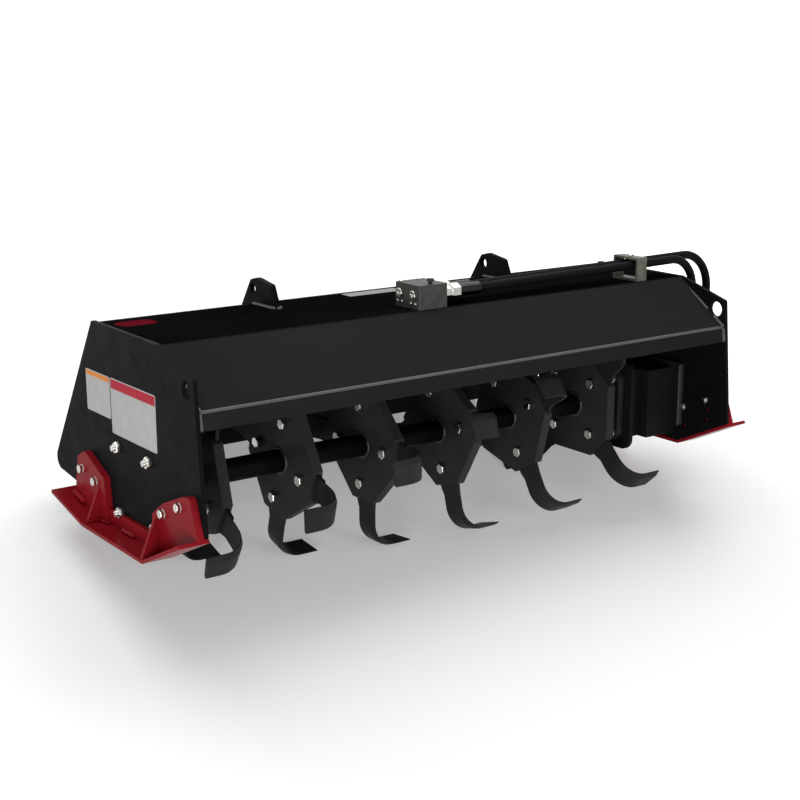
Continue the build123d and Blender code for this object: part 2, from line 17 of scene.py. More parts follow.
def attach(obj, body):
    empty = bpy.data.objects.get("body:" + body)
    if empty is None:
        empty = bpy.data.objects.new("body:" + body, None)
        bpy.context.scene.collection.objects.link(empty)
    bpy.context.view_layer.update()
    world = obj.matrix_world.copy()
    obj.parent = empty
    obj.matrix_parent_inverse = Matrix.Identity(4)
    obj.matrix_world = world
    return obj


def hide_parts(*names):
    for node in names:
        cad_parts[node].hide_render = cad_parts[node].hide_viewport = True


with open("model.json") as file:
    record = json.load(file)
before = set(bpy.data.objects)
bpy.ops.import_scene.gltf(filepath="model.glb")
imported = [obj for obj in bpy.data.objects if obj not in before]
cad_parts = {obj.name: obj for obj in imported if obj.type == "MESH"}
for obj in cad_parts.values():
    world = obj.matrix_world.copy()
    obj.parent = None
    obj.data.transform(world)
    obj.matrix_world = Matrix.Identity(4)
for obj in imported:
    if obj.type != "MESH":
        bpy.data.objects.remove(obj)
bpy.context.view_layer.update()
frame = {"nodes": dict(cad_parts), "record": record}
record = frame["record"]

# ================================================================ level to parked
REAR_TOP, REAR_FOOT = Vector((192, 339)), Vector((453, -49))      # y, z of the rear plane
down = (REAR_FOOT - REAR_TOP).normalized()
out_y, out_z = -down.y, down.x           # its level normal

joint = record["behaviour"]["joints"][0]
mounts = {m["name"]: m for m in record["mounts"]}
along = Vector(joint["axis"])
normal = Vector(mounts["attach_face"]["axis"])
across = along.cross(normal)
PARK = Matrix.Translation(Vector(joint["pos_m"])) @ Matrix(
    (along, normal * out_y - across * out_z, normal * out_z + across * out_y)
).transposed().to_4x4()
PARK_MM = PARK @ Matrix.Scale(0.001, 4)


def level_box(node):
    """Lowest and highest corner of a CAD node in the level machine frame, to 0.1 mm."""
    to_level = PARK_MM.inverted()
    spots = [to_level @ v.co for v in frame["nodes"][node].data.vertices]
    return [Vector([round(end(axis), 1) for axis in zip(*spots)]) for end in (min, max)]


def level_middle(node):
    low, high = level_box(node)
    return (low + high) / 2


# ================================================================ sizes, mm
X_OUT, X_IN = (-corner.x for corner in level_box("left_side_plate"))     # of the side plates
EAR_OUT = X_OUT + 16.0                   # outer face of the shoes' ears
DECK_Z = level_box("hood")[1].z
DECK_FRONT = (-124.0, DECK_Z)            # y, z of the hood's two folds
SLOPE_FOOT = (-280.0, 223.0)
LUG_X = 352.0
LUG_FRONT_Y, LUG_WELD_END_Y = level_box("left_lug")[0].y, 190.0
BLOCK_LOW, BLOCK_HIGH = level_box("valve_block")
CLAMP_LOW, CLAMP_HIGH = level_box("hose_clamp")
FERRULE_X = 42.0                         # where the block fittings' bright ends stop
FLANGES = [level_box(f"tine_flange_{k + 1}") for k in range(6)]
TUBE_R = level_box("rotor_shaft")[1].y


# ================================================================ node helpers
def new_mat(name):
    m = bpy.data.materials.new(name)
    m.use_nodes = True
    nt = m.node_tree
    return m, nt, nt.nodes["Principled BSDF"]


def object_spot(nt):
    """Where on the object the surface is, in metres of the parked frame."""
    return nt.nodes.new("ShaderNodeTexCoord").outputs["Object"]


def noise(nt, vec, scale, detail=4.0, rough=0.55):
    t = nt.nodes.new("ShaderNodeTexNoise")
    t.inputs["Scale"].default_value = scale
    t.inputs["Detail"].default_value = detail
    t.inputs["Roughness"].default_value = rough
    nt.links.new(vec, t.inputs["Vector"])
    return t.outputs["Fac"]


def wave(nt, vec, scale, distortion=0.0, direction="X"):
    t = nt.nodes.new("ShaderNodeTexWave")
    t.bands_direction = direction
    t.inputs["Scale"].default_value = scale
    t.inputs["Distortion"].default_value = distortion
    nt.links.new(vec, t.inputs["Vector"])
    return t.outputs["Fac"]


def math_node(nt, operation, a, b):
    """a is a socket, b a socket or a number."""
    node = nt.nodes.new("ShaderNodeMath")
    node.operation = operation
    nt.links.new(a, node.inputs[0])
    if isinstance(b, bpy.types.NodeSocket):
        nt.links.new(b, node.inputs[1])
    else:
        node.inputs[1].default_value = b
    return node.outputs["Value"]


def vector_node(nt, operation, a, b=None):
    """A number from a vector socket, such as its length or its dot product with b."""
    node = nt.nodes.new("ShaderNodeVectorMath")
    node.operation = operation
    nt.links.new(a, node.inputs[0])
    if b is not None:
        node.inputs[1].default_value = b
    return node.outputs["Value"]


def map_range(nt, value, start, end, low=0.0, high=1.0, kind="LINEAR"):
    """From low to high as value goes from start to end."""
    node = nt.nodes.new("ShaderNodeMapRange")
    node.interpolation_type = kind
    for socket, number in (("From Min", start), ("From Max", end), ("To Min", low),
                           ("To Max", high)):
        node.inputs[socket].default_value = number
    nt.links.new(value, node.inputs["Value"])
    return node.outputs["Result"]


def ramp(nt, fac, start, end, low=0.0, high=1.0):
    """Grey from low to high as fac goes from start to end."""
    r = nt.nodes.new("ShaderNodeValToRGB")
    for stop, place, grey in zip(r.color_ramp.elements, (start, end), (low, high)):
        stop.position = place
        stop.color = (grey, grey, grey, 1)
    nt.links.new(fac, r.inputs["Fac"])
    return r.outputs["Color"]


def mix(nt, fac, a, b, blend="MIX"):
    """fac is a socket or a number, a and b are sockets or colours."""
    m = nt.nodes.new("ShaderNodeMix")
    m.data_type = "RGBA"
    m.blend_type = blend
    colours = [s for s in m.inputs if s.type == "RGBA"]
    for socket, value in zip([m.inputs["Factor"], *colours], (fac, a, b)):
        if isinstance(value, bpy.types.NodeSocket):
            nt.links.new(value, socket)
        elif isinstance(value, float):
            socket.default_value = value
        else:
            socket.default_value = (*value, 1)
    return next(s for s in m.outputs if s.type == "RGBA")


def bump(nt, bsdf, height, strength, dist, edge=0.0):
    """Bump over a surface whose edges look rounded by edge; lengths in metres."""
    b = nt.nodes.new("ShaderNodeBump")
    b.inputs["Strength"].default_value = strength
    b.inputs["Distance"].default_value = dist
    nt.links.new(height, b.inputs["Height"])
    if edge:
        bev = nt.nodes.new("ShaderNodeBevel")
        bev.samples = 4
        bev.inputs["Radius"].default_value = edge
        nt.links.new(bev.outputs["Normal"], b.inputs["Normal"])
    nt.links.new(b.outputs["Normal"], bsdf.inputs["Normal"])


# ================================================================ materials
SPECK_GAIN = 2.2                         # how much brighter specks are than settled dust


def painted(name, base, dust, rough=(0.42, 0.6), peel=0.08, spec=0.25, edge=0.0012,
            speckle=0.5):
    """Sprayed enamel: faint colour drift, orange peel and a little settled dust."""
    m, nt, bsdf = new_mat(name)
    v = object_spot(nt)
    drift = ramp(nt, noise(nt, v, scale=5.0, detail=5.0), 0.35, 0.7)
    specks = ramp(nt, noise(nt, v, scale=150.0, detail=6.0, rough=0.75), 0.62, 0.78,
                  high=speckle)
    bright = [min(1, SPECK_GAIN * c) for c in dust]
    nt.links.new(mix(nt, specks, mix(nt, drift, base, dust), bright),
                 bsdf.inputs["Base Color"])
    gloss = ramp(nt, noise(nt, v, scale=22.0, detail=6.0, rough=0.7), 0.3, 0.7, *rough)
    nt.links.new(gloss, bsdf.inputs["Roughness"])
    orange_peel = noise(nt, v, scale=420.0, detail=2.0)
    bump(nt, bsdf, orange_peel, strength=peel, dist=0.0006, edge=edge)
    bsdf.inputs["Specular IOR Level"].default_value = spec
    return m


def hood_paint():
    """Black paint, darker on the deck and lighter on the slope and lip past the fold: painted
    light and shade for how differently the two face the lamps.
    """
    m = painted("hood_black_look", (0.0035, 0.0035, 0.0038), (0.005, 0.005, 0.0054),
                rough=(0.55, 0.68), spec=0.0)
    nt = m.node_tree
    bsdf = nt.nodes["Principled BSDF"]
    deck = bsdf.inputs["Base Color"].links[0].from_socket
    v = object_spot(nt)
    forward = -(PARK.to_3x3() @ Vector((0, 1, 0)))
    fold = (PARK_MM @ Vector((0, *DECK_FRONT))).dot(forward)
    # painted light: past the hood's front fold the slope and lip get a lighter black than the
    # deck
    past_fold = map_range(nt, vector_node(nt, "DOT_PRODUCT", v, forward),
                          start=fold - 0.006, end=fold + 0.004)
    slope_painted_light = mix(nt, ramp(nt, noise(nt, v, scale=4.0, detail=5.0), 0.3, 0.7),
                (0.0185, 0.0185, 0.019), (0.0215, 0.0215, 0.022))
    nt.links.new(mix(nt, past_fold, deck, slope_painted_light), bsdf.inputs["Base Color"])
    return m


def metal(name, base, alt, rough=(0.22, 0.42), metallic=1.0, edge=0.0006, spec=0.5):
    """Bare or plated metal in two patchy tones, finely grained."""
    m, nt, bsdf = new_mat(name)
    v = object_spot(nt)
    patch = ramp(nt, noise(nt, v, scale=60.0), 0.4, 0.65)
    nt.links.new(mix(nt, patch, base, alt), bsdf.inputs["Base Color"])
    gloss = ramp(nt, noise(nt, v, scale=160.0, detail=3.0), 0.3, 0.7, *rough)
    nt.links.new(gloss, bsdf.inputs["Roughness"])
    grain = noise(nt, v, scale=480.0, detail=2.0)
    bump(nt, bsdf, grain, strength=0.12, dist=0.0003, edge=edge)
    bsdf.inputs["Metallic"].default_value = metallic
    bsdf.inputs["Specular IOR Level"].default_value = spec
    return m


def hose_rubber():
    """Wrapped hydraulic hose: fine cloth-marked rubber."""
    m, nt, bsdf = new_mat("hose_rubber_look")
    v = object_spot(nt)
    nt.links.new(mix(nt, noise(nt, v, scale=30.0), (0.003, 0.003, 0.0034),
                     (0.006, 0.006, 0.0066)), bsdf.inputs["Base Color"])
    cloth = wave(nt, v, scale=190.0, distortion=1.2, direction="DIAGONAL")
    bump(nt, bsdf, cloth, strength=0.25, dist=0.0005)
    bsdf.inputs["Roughness"].default_value = 0.55
    bsdf.inputs["Specular IOR Level"].default_value = 0.04
    return m


def fitting_metal():
    """Bright hexagons by the valve block, then dark crimped ferrules."""
    m, nt, bsdf = new_mat("zinc_fittings_look")
    v = object_spot(nt)
    sep = nt.nodes.new("ShaderNodeSeparateXYZ")
    nt.links.new(v, sep.inputs["Vector"])
    ferrule_start = (PARK_MM @ Vector((FERRULE_X, 0, 0))).x
    ferrule = math_node(nt, "GREATER_THAN", sep.outputs["X"], ferrule_start)
    patch = ramp(nt, noise(nt, v, scale=60.0), 0.4, 0.65)
    bright = mix(nt, patch, (0.46, 0.455, 0.43), (0.34, 0.335, 0.31))
    nt.links.new(mix(nt, ferrule, bright, (0.022, 0.022, 0.023)), bsdf.inputs["Base Color"])
    gloss = ramp(nt, noise(nt, v, scale=160.0, detail=3.0), 0.3, 0.7, 0.12, 0.24)
    nt.links.new(gloss, bsdf.inputs["Roughness"])
    bump(nt, bsdf, wave(nt, v, scale=45.0), strength=0.3, dist=0.0008, edge=0.0008)
    bsdf.inputs["Metallic"].default_value = 1.0
    return m


def printed(name, colour, spec=0.03):
    """Blank sticker film in one colour, slightly soiled."""
    m, nt, bsdf = new_mat(name)
    v = object_spot(nt)
    soil = ramp(nt, noise(nt, v, scale=40.0), 0.35, 0.7, low=0.9)
    nt.links.new(mix(nt, 1.0, colour, soil, "MULTIPLY"), bsdf.inputs["Base Color"])
    gloss = ramp(nt, noise(nt, v, scale=90.0), 0.3, 0.7, 0.36, 0.42)
    nt.links.new(gloss, bsdf.inputs["Roughness"])
    bsdf.inputs["Specular IOR Level"].default_value = spec
    return m


MATS = {
    "frame_black": painted("frame_black_look", (0.0048, 0.0048, 0.0052),
                           (0.0068, 0.0068, 0.0072), spec=0.02),
    "hood_black": hood_paint(),
    "rotor_black": painted("rotor_black_look", (0.029, 0.029, 0.030), (0.037, 0.037, 0.038),
                           spec=0.06),
    "tine_steel": painted("tine_steel_look", (0.018, 0.018, 0.0195), (0.028, 0.0275, 0.029),
                          rough=(0.34, 0.5), spec=0.06),
    "red_paint": painted("red_paint_look", (0.235, 0.0080, 0.0135), (0.26, 0.0095, 0.0155),
                         rough=(0.2, 0.3), peel=0.04, spec=0.03, speckle=0.12),
    "hose_rubber": hose_rubber(),
    "zinc_fittings": fitting_metal(),
    "block_steel": metal("block_steel_look", (0.060, 0.060, 0.057), (0.044, 0.044, 0.040),
                         rough=(0.4, 0.52), metallic=0.2, spec=0.12),
    "knob_black": painted("knob_black_look", (0.012, 0.012, 0.012), (0.02, 0.02, 0.02)),
    "clamp_zinc": metal("clamp_zinc_look", (0.15, 0.15, 0.132), (0.11, 0.108, 0.08),
                        rough=(0.4, 0.56), metallic=0.45, spec=0.1),
    "motor_black": painted("motor_black_look", (0.012, 0.012, 0.013), (0.02, 0.02, 0.02)),
    "bearing_iron": painted("bearing_iron_look", (0.014, 0.016, 0.017), (0.024, 0.025, 0.025),
                            peel=0.3),
}
# painted shade: the rotor's tube gets a near-black, far darker than the rotor's paint, for the
# hood's shadow over it
TUBE_PAINTED_SHADE = painted("tube_painted_shade_look", (0.0022, 0.0022, 0.0022), (0.004, 0.004, 0.004), spec=0.05)
BOX = painted("box_black_look", (0.0095, 0.0095, 0.0105), (0.013, 0.013, 0.014), spec=0.03)
ZINC = metal("zinc_bolt_look", (0.60, 0.595, 0.57), (0.50, 0.49, 0.45), rough=(0.2, 0.32),
             edge=0.0)
WELD = painted("weld_bead_look", (0.022, 0.022, 0.023), (0.036, 0.036, 0.037),
               rough=(0.3, 0.42), peel=0.2, spec=0.5)
# painted highlight: a lighter grey for the fold, plate edge and weld beads that catch the light
PAINTED_HIGHLIGHT = painted("painted_highlight_look", (0.036, 0.036, 0.036), (0.052, 0.052, 0.052), peel=0.05,
               spec=0.5, edge=0.0)
PAPER = printed("label_paper_look", (0.50, 0.50, 0.49))
ORANGE_FILM = printed("orange_film_look", (0.80, 0.27, 0.05))
RED_FILM = printed("red_film_look", (0.46, 0.025, 0.045))
CRIMSON_FILM = printed("crimson_film_look", (0.11, 0.006, 0.013), spec=0.0)
GREY_FILM = printed("grey_film_look", (0.34, 0.34, 0.34), spec=0.0)

# the rotor's tube takes its painted-shade near-black here
OWN_LOOK = {"rotor_shaft": TUBE_PAINTED_SHADE, "drive_box": BOX}       # nodes unlike the rest of their slot
slot_of = {s["node"]: s["material_slot"] for s in record["subparts"]}
for node, obj in frame["nodes"].items():
    obj.data.materials.clear()
    obj.data.materials.append(OWN_LOOK.get(node, MATS[slot_of[node]]))


# ================================================================ mesh helpers
def place(name, me, mat, body, slot):
    """An object of a mesh in level millimetres, in the parked frame, riding on a body."""
    me.transform(PARK_MM)
    me.materials.clear()
    me.materials.append(mat)
    ob = bpy.data.objects.new(name, me)
    bpy.context.scene.collection.objects.link(ob)
    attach(ob, body)
    return ob


def finish_mesh(bm, name, mat, body, slot, smooth=None):
    """Places what bm holds, and shades edges of up to smooth degrees as round."""
    me = bpy.data.meshes.new(name)
    bmesh.ops.recalc_face_normals(bm, faces=bm.faces)
    bm.to_mesh(me)
    bm.free()
    if smooth:
        me.shade_smooth()
        me.set_sharp_from_angle(angle=math.radians(smooth))
    place(name, me, mat, body, slot)


def axes_for(axis):
    """Matrix whose +z is axis."""
    z = Vector(axis).normalized()
    side = Vector((0, 0, 1)) if abs(z.z) < 0.9 else Vector((0, 1, 0))
    x = side.cross(z).normalized()
    y = z.cross(x)
    return Matrix((x, y, z)).transposed().to_4x4()


def round_points(r, sides, turn=0.0, z=0.0):
    """Points round a circle at height z."""
    angles = (turn + 2 * math.pi * i / sides for i in range(sides))
    return [Vector((r * math.cos(a), r * math.sin(a), z)) for a in angles]


def skin(bm, rings):
    """Closed solid through rings of points, all with the same number of them."""
    rows = [[bm.verts.new(p) for p in ring] for ring in rings]
    for a, b in zip(rows, rows[1:]):
        for i in range(len(a)):
            j = (i + 1) % len(a)
            bm.faces.new((a[i], a[j], b[j], b[i]))
    bm.faces.new(rows[0][::-1])
    bm.faces.new(rows[-1])


def turned(bm, at, axis, levels, sides, turn=0.0):
    """Solid that stands on a point and turns round an axis; levels are (radius, height)."""
    m = Matrix.Translation(Vector(at)) @ axes_for(axis)
    skin(bm, [[m @ p for p in round_points(r, sides, turn, h)] for r, h in levels])


WASHER_T, THREAD_PITCH = 2.4, 2.5


def hex_bolt(bm, at, axis, size, turn):
    """Hexagon head or nut with eased corners, on a washer, with a stud end if a nut."""
    flats, height, washer_r, stud = size
    foot = WASHER_T if washer_r else 0.0
    top = foot + height
    if washer_r:
        turned(bm, at, axis, [(washer_r, 0.0), (washer_r, foot - 0.6), (washer_r - 0.8, foot)],
               sides=20)
    r = flats / math.sqrt(3)
    turned(bm, at, axis, [(r * 0.96, foot), (r, foot + 0.8), (r, foot + height * 0.86),
                          (r * 0.9, top)], sides=6, turn=turn)
    if stud:
        thread_r = flats * 0.29
        levels = [(thread_r, top - 1)]
        turns = max(2, int(stud / THREAD_PITCH))
        for i in range(turns):
            levels += [(thread_r, top + stud * (i + 0.15) / turns),
                       (thread_r * 0.90, top + stud * (i + 0.6) / turns)]
        levels += [(thread_r, top + stud * 0.97), (thread_r * 0.82, top + stud)]
        turned(bm, at, axis, levels, sides=14)


def tube(bm, line, radii, sides=8):
    """Round bar along a line of points, with its own radius at each."""
    rings = []
    for i, (p, r) in enumerate(zip(line, radii)):
        way = line[min(i + 1, len(line) - 1)] - line[max(i - 1, 0)]
        m = Matrix.Translation(p) @ axes_for(way)
        rings.append([m @ q for q in round_points(r, sides)])
    skin(bm, rings)


def weld(bm, path, r, seed, pitch=5.0):
    """Rippled bead along a polyline, with small ends."""
    rnd = random.Random(seed)
    corners = [Vector(p) for p in path]
    line = []
    for a, b in zip(corners, corners[1:]):
        count = max(2, int((b - a).length / (pitch / 2)))
        line += [a.lerp(b, i / count) for i in range(count)]
    line.append(corners[-1])
    radii = [r * (1.0 if i % 2 else 0.86) * rnd.uniform(0.93, 1.07) for i in range(len(line))]
    for end in (0, -1):
        radii[end] *= 0.6
    tube(bm, line, radii)


def plaque(bm, origin, u, v, w, h, radii, t, steps=5):
    """Thin film t proud: origin at its lower left, u along w, v along h.

    radii round its corners: lower left, lower right, upper right, upper left.
    """
    u, v = Vector(u).normalized(), Vector(v).normalized()
    ring = []
    for x, y, start, r in ((w, h, 0, radii[2]), (0, h, 90, radii[3]), (0, 0, 180, radii[0]),
                           (w, 0, 270, radii[1])):
        mid_x, mid_y = (x - r if x else r), (y - r if y else r)
        for i in range(steps + 1):
            a = math.radians(start + 90 * i / steps)
            ring.append(Vector(origin) + u * (mid_x + r * math.cos(a))
                        + v * (mid_y + r * math.sin(a)))
    skin(bm, [ring, [p + u.cross(v) * t for p in ring]])


def strip_box(bm, origin, u, v, w, h, d):
    """Bar with slightly eased edges: w along u, h along v, d along u cross v."""
    u, v = Vector(u).normalized(), Vector(v).normalized()
    e = min(w, h, d) * 0.12
    rings = []
    for depth, inset in ((0.0, e), (e, 0.0), (d - e, 0.0), (d, e)):
        corners = ((inset, inset), (w - inset, inset), (w - inset, h - inset),
                   (inset, h - inset))
        rings.append([Vector(origin) + u.cross(v) * depth + u * a + v * b
                      for a, b in corners])
    skin(bm, rings)


# ================================================================ bolts
# across flats, height, washer's radius (0 for none), length of stud (0 for a head)
BEARING_NUT, BEARING_LOW_HEAD, BEARING_HEAD = (24, 13, 0, 7), (24, 6, 0, 0), (24, 10, 14, 0)
DRIVE_NUT, NECK_HEAD, MOTOR_HEAD = (22, 12, 0, 5), (17, 9, 11, 0), (19, 10, 13, 0)
SHOE_HEAD, SHOE_NUT = (18, 8, 10.5, 0), (17, 9, 0, 3)
CLAMP_HEAD = (13, 6, 0, 0)
TINE_HEAD, TINE_NUT = (23, 13, 0, 0), (23, 10, 0, 4)

BEARING_BOLT, MOTOR_BOLT = 75.0, 52.0    # from the axis, along y and along z
BEARING_T, MOTOR_FLANGE_T = 18.0, 18.0
DRIVE_FACE_X = level_box("drive_box")[0].x - BEARING_T
SHOE_BOLTS = [(248, -12), (176, -25), (-158, -13), (-233, 20)]     # y, z
NECK_BOLT_AT = (640, -70, 91)            # on top of the drive box's neck
CLAMP_BOLT_AT = ((CLAMP_LOW.x + CLAMP_HIGH.x) / 2, -75.5, CLAMP_HIGH.z)    # between the hoses

TINE_COUNT, TINE_BOLT_R = 4, 96.0        # on each flange
TINE_PHASE, PHASE_STEP = 30.0, -15.0     # degrees: the first flange's, and from one to the next
HOUSING_SEED, TINE_SEED = 5, 6


def housing_bolts():
    """On the bearings, motor, shoes, drive box's neck and hose clamp."""
    bm = bmesh.new()
    rnd = random.Random(HOUSING_SEED)
    left, right, up = (-1, 0, 0), (1, 0, 0), (0, 0, 1)
    for sy in (-1, 1):
        for sz in (-1, 1):
            y, z = sy * BEARING_BOLT, sz * BEARING_BOLT
            behind_gusset = sy < 0 and sz < 0
            outer = BEARING_LOW_HEAD if behind_gusset else BEARING_NUT
            hex_bolt(bm, (-X_OUT, y, z), left, outer, rnd.random())
            hex_bolt(bm, (-X_IN + BEARING_T, y, z), right, BEARING_HEAD, rnd.random())
            hex_bolt(bm, (DRIVE_FACE_X, y, z), left, DRIVE_NUT, rnd.random())
            hex_bolt(bm, (X_OUT + MOTOR_FLANGE_T, sy * MOTOR_BOLT, sz * MOTOR_BOLT), right,
                     MOTOR_HEAD, rnd.random())
    for side in (-1, 1):
        for y, z in SHOE_BOLTS:
            hex_bolt(bm, (side * EAR_OUT, y, z), (side, 0, 0), SHOE_HEAD, rnd.random())
            hex_bolt(bm, (side * X_IN, y, z), (-side, 0, 0), SHOE_NUT, rnd.random())
    hex_bolt(bm, NECK_BOLT_AT, up, NECK_HEAD, turn=0.3)
    hex_bolt(bm, CLAMP_BOLT_AT, up, CLAMP_HEAD, turn=0.2)
    finish_mesh(bm, "housing_bolts", ZINC, "housing", "zinc_fittings", smooth=35)


def tine_bolts():
    """One bolt through each tine's shank, its head on the flange's -x face."""
    bm = bmesh.new()
    rnd = random.Random(TINE_SEED)
    for k, (low, high) in enumerate(FLANGES):
        for j in range(TINE_COUNT):
            phi = math.radians(TINE_PHASE + PHASE_STEP * k + 360 / TINE_COUNT * j)
            y, z = TINE_BOLT_R * math.cos(phi), TINE_BOLT_R * math.sin(phi)
            hex_bolt(bm, (low.x, y, z), (-1, 0, 0), TINE_HEAD, rnd.random())
            hex_bolt(bm, (high.x, y, z), (1, 0, 0), TINE_NUT, rnd.random())
    finish_mesh(bm, "tine_bolts", ZINC, "rotor", "zinc_fittings", smooth=30)


# ================================================================ plugs of the valve block
# radius and height at each step, from the foot up and then down into the socket
PLUG = [(11.0, 0.0), (11.0, 3.5), (10.0, 4.5), (4.8, 4.5), (4.8, 1.5)]
SCREW = [(3.4, 0.0), (3.4, 1.6), (2.8, 2.2), (1.6, 2.2), (1.6, 0.8)]
CAP = [(5.2, 0.0), (5.2, 2.4), (4.4, 3.2), (2.4, 3.2), (2.4, 1.4)]
PLUG_Y, PLUG_Z = (-45, -97), 367
SCREW_FROM_PLUG = [(-9, -20), (8, -20)]  # y, z
CAP_X, CAP_Y = (-90, -74, -40), -36


def valve_plugs():
    """Socket plugs and screws in the block's left face, and caps along its top's rear."""
    bm = bmesh.new()
    left, up = (-1, 0, 0), (0, 0, 1)
    for y in PLUG_Y:
        turned(bm, (BLOCK_LOW.x, y, PLUG_Z), left, PLUG, sides=24)
        for dy, dz in SCREW_FROM_PLUG:
            turned(bm, (BLOCK_LOW.x, y + dy, PLUG_Z + dz), left, SCREW, sides=14)
    for x in CAP_X:
        turned(bm, (x, CAP_Y, BLOCK_HIGH.z), up, CAP, sides=18)
    finish_mesh(bm, "valve_plugs", ZINC, "housing", "zinc_fittings", smooth=35)


# ================================================================ welds
DECK_WELD_Y = (188, -116)
END_STITCHES = [[(-117, 331), (-226, 261)], [(-246, 247), (-279, 224), (-284, 184)]]   # y, z
# from and to (x out from the side plate's outer face, y, z), radius, seed, pitch
SHOE_WELDS = [
    ((19, 292, -76), (19, 236, -88), 8.0, 51, 12),
    ((19, 151, -109), (19, 128, -109), 5.5, 50, 9),
    ((20, 121, -108), (6, 121, -108), 5.5, 52, 9),
    ((12, 54, -107), (12, -8, -107), 6.5, 53, 11),
    ((20, 155, -109), (56.5, 155, -109), 4.5, 55, 9),
    ((19, -108, -109), (19, -131, -110), 5.0, 56, 9),
]


def housing_welds():
    """Along both sides and the front of each lug's foot."""
    bm = bmesh.new()
    z = DECK_Z + 1
    for side in (-1, 1):
        lug_x = side * LUG_X
        for s in (-1, 1):
            x = lug_x + 8 * s
            weld(bm, [(x, LUG_FRONT_Y + 2, z), (x, LUG_WELD_END_Y, z)], r=6.0,
                 seed=23 + side + s, pitch=8)
        weld(bm, [(lug_x - 5, LUG_FRONT_Y, z), (lug_x + 5, LUG_FRONT_Y, z)], r=6.0, seed=29,
             pitch=8)
    finish_mesh(bm, "housing_welds", WELD, "housing", "frame_black", smooth=60)


def deck_end_welds():
    """Thin painted beads between the deck and the side plates."""
    bm = bmesh.new()
    for side in (-1, 1):
        weld(bm, [(side * (X_IN - 1), y, DECK_Z) for y in DECK_WELD_Y], r=2.6, seed=3 + side)
    finish_mesh(bm, "deck_end_welds", MATS["frame_black"], "housing", "frame_black", smooth=60)


def hood_end_welds():
    """Stitches down both ends of the hood, in a lighter grey that is a painted highlight."""
    bm = bmesh.new()
    for side in (-1, 1):
        for seed, stitch in enumerate(END_STITCHES, 31):
            weld(bm, [(side * (X_IN - 3), *spot) for spot in stitch], r=5.2, seed=seed,
                 pitch=7)
    finish_mesh(bm, "hood_end_welds", PAINTED_HIGHLIGHT, "housing", "frame_black", smooth=60)


def rotor_welds():
    """A bead round the tube on both sides of each flange."""
    bm = bmesh.new()
    circle = round_points(TUBE_R + 2.5, sides=28)
    for k, (low, high) in enumerate(FLANGES):
        for x in (low.x - 0.5, high.x + 0.5):
            weld(bm, [(x, p.x, p.y) for p in (*circle, circle[0])], r=4.2, seed=40 + k,
                 pitch=6.6)
    finish_mesh(bm, "rotor_welds", WELD, "rotor", "rotor_black", smooth=60)


def skid_welds():
    """Thick beads where the ears, gussets and ribs of the shoes stand on the sole."""
    bm = bmesh.new()
    for side in (-1, 1):
        for start, end, r, seed, pitch in SHOE_WELDS:
            path = [(side * (X_OUT + out), y, z) for out, y, z in (start, end)]
            weld(bm, path, r, seed, pitch)
    finish_mesh(bm, "skid_welds", MATS["red_paint"], "housing", "red_paint", smooth=60)


# ================================================================ painted highlight strips
FOLD_HIGHLIGHT_R = 4.4
FOLD_HIGHLIGHT_Y, FOLD_HIGHLIGHT_Z = SLOPE_FOOT[0] + 3.4, SLOPE_FOOT[1] - 2.0
BOX_PLATE_T = 18.0                       # of the drive box's flange plate
BOX_PLATE_FRONT_Y = level_box("drive_box")[0].y
BOX_PLATE_LOW_Z, BOX_PLATE_H = -65.0, 166.0
HIGHLIGHT_FILM_T = 0.6


def painted_highlight_strips():
    """Painted highlight: a lighter grey bar along the hood's lower fold, and a lighter grey film
    on the box plate's front edge.
    """
    bm = bmesh.new()
    fold = [Vector((x, FOLD_HIGHLIGHT_Y, FOLD_HIGHLIGHT_Z)) for x in (-X_IN, X_IN)]
    tube(bm, fold, (FOLD_HIGHLIGHT_R, FOLD_HIGHLIGHT_R))
    strip_box(bm, (X_IN - BOX_PLATE_T, BOX_PLATE_FRONT_Y, BOX_PLATE_LOW_Z), (1, 0, 0),
              (0, 0, 1), BOX_PLATE_T, BOX_PLATE_H, HIGHLIGHT_FILM_T)
    finish_mesh(bm, "painted_highlight_strips", PAINTED_HIGHLIGHT, "housing", "frame_black", smooth=60)


# ================================================================ labels, all blank
FILM_T, BAND_T, BAND_IN = 0.4, 0.2, 2.5
# name, y of its rear edge, lowest z, width, height, height of its band, the band's film
SIDE_LABELS = [("side_label_rear", 235.5, 130, 125, 95, 12.5, ORANGE_FILM),
               ("side_label_front", 107, 101, 217, 125, 23.5, RED_FILM)]
# name, lowest x and y, width, depth, radius and steps of its corners, film
DECK_LABELS = [("deck_decal", -740, 98, 92, 60, 22, 8, CRIMSON_FILM),
               ("deck_label", -119, 134, 160, 44, 3, 5, GREY_FILM)]


def side_label(name, y, z, w, h, band_h, band_film):
    """Blank white sticker on the left side plate with a coloured band along its top."""
    forward, up = (0, -1, 0), (0, 0, 1)
    bm = bmesh.new()
    plaque(bm, (-X_OUT, y, z), forward, up, w, h, radii=(5, 5, 5, 5), t=FILM_T)
    finish_mesh(bm, name, PAPER, "housing", "frame_black")
    bm = bmesh.new()
    plaque(bm, (-X_OUT - FILM_T, y - BAND_IN, z + h - band_h), forward, up,
           w - 2 * BAND_IN, band_h - BAND_IN, radii=(0.5, 0.5, 3, 3), t=BAND_T)
    finish_mesh(bm, name + "_band", band_film, "housing", "frame_black")


def deck_label(name, x, y, w, depth, r, steps, film):
    """Blank film lying on the deck."""
    bm = bmesh.new()
    plaque(bm, (x, y, DECK_Z), (1, 0, 0), (0, 1, 0), w, depth, radii=(r, r, r, r), t=FILM_T,
           steps=steps)
    finish_mesh(bm, name, film, "housing", "frame_black")


# ================================================================ hoses
HOSE_R = 11.3
HOSE_GAP = 0.3                           # between a hose's start and the block fitting's end
CLAMP_HOSE_Z = 374.0                     # of the hoses' middle as they reach the clamp
END_HANDLE = 5.0                         # of the curve, where it runs straight
HOSE_BENDS = [("pressure_hose", 80.0), ("return_hose", 96.0)]      # node, radius of its bend


